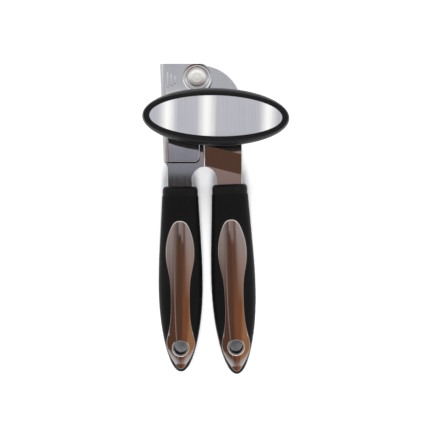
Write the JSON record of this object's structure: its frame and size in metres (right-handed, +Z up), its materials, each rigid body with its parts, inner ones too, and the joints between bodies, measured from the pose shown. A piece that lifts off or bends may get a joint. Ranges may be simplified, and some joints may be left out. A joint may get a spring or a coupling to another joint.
{
  "type": "manual can opener",
  "caption": "Hand can opener: pivoted stainless arms with black inlaid grips, a geared cutter and feed wheel under the head, and an oval turning knob.",
  "frame": {"origin": "middle of the footprint on the plane the opener lies on, z = 0 at the lowest points of both grips and of the cutter screw", "axes": "+X to the right seen from the knob side, +Y from the handle tips to the pivot end, +Z up out of the knob"},
  "size_m": [0.0886, 0.196, 0.0481],
  "materials": {
    "arm_steel": "brushed",
    "rivet_nickel": "satin",
    "works_steel": "satin",
    "bushing_bronze": "satin",
    "cutter_steel": "ground",
    "knob_black": "satin",
    "knob_rim_black": "satin",
    "plate_mirror": "polished",
    "core_black": "satin",
    "grip_black": "matte",
    "inlay_steel": "polished",
    "eyelet_steel": "polished"
  },
  "bodies": {
    "frame": {"frame_arm": "arm_steel", "pivot_rivet": "rivet_nickel", "pivot_washer": "works_steel", "pivot_spacer": "works_steel", "cutter_bushing": "bushing_bronze", "left_handle_core": "core_black", "left_grip": "grip_black", "left_inlay": "inlay_steel", "left_eyelet": "eyelet_steel"},
    "feed_lever": {"feed_arm": "arm_steel", "shaft_bushing": "bushing_bronze", "right_handle_core": "core_black", "right_grip": "grip_black", "right_inlay": "inlay_steel", "right_eyelet": "eyelet_steel"},
    "drive": {"drive_shaft": "works_steel", "drive_gear": "works_steel", "feed_wheel": "works_steel", "knob_washer": "works_steel", "knob_shell": "knob_black", "knob_rim": "knob_rim_black", "knob_face_plate": "plate_mirror", "knob_screw": "works_steel"},
    "cutter": {"cutter_shaft": "works_steel", "cutter_gear": "works_steel", "cutter_wheel": "cutter_steel", "cutter_screw": "works_steel"}
  },
  "joints": [
    {"name": "handle_hinge", "type": "hinge", "parent": "frame", "child": "feed_lever", "pos_m": [-0.0118, 0.08908, 0.0108], "axis": [0, 0, 1], "range_deg": [0, 60]},
    {"name": "knob_spin", "type": "hinge", "parent": "feed_lever", "child": "drive", "pos_m": [0, 0.06198, 0.0108], "axis": [0, 0, 1], "continuous": true},
    {"name": "cutter_spin", "type": "hinge", "parent": "frame", "child": "cutter", "pos_m": [-0.0151, 0.06198, 0.0084], "axis": [0, 0, 1], "continuous": true}
  ],
  "couplings": [
    {"joint": "cutter_spin", "follows": "knob_spin", "ratio": -1}
  ]
}
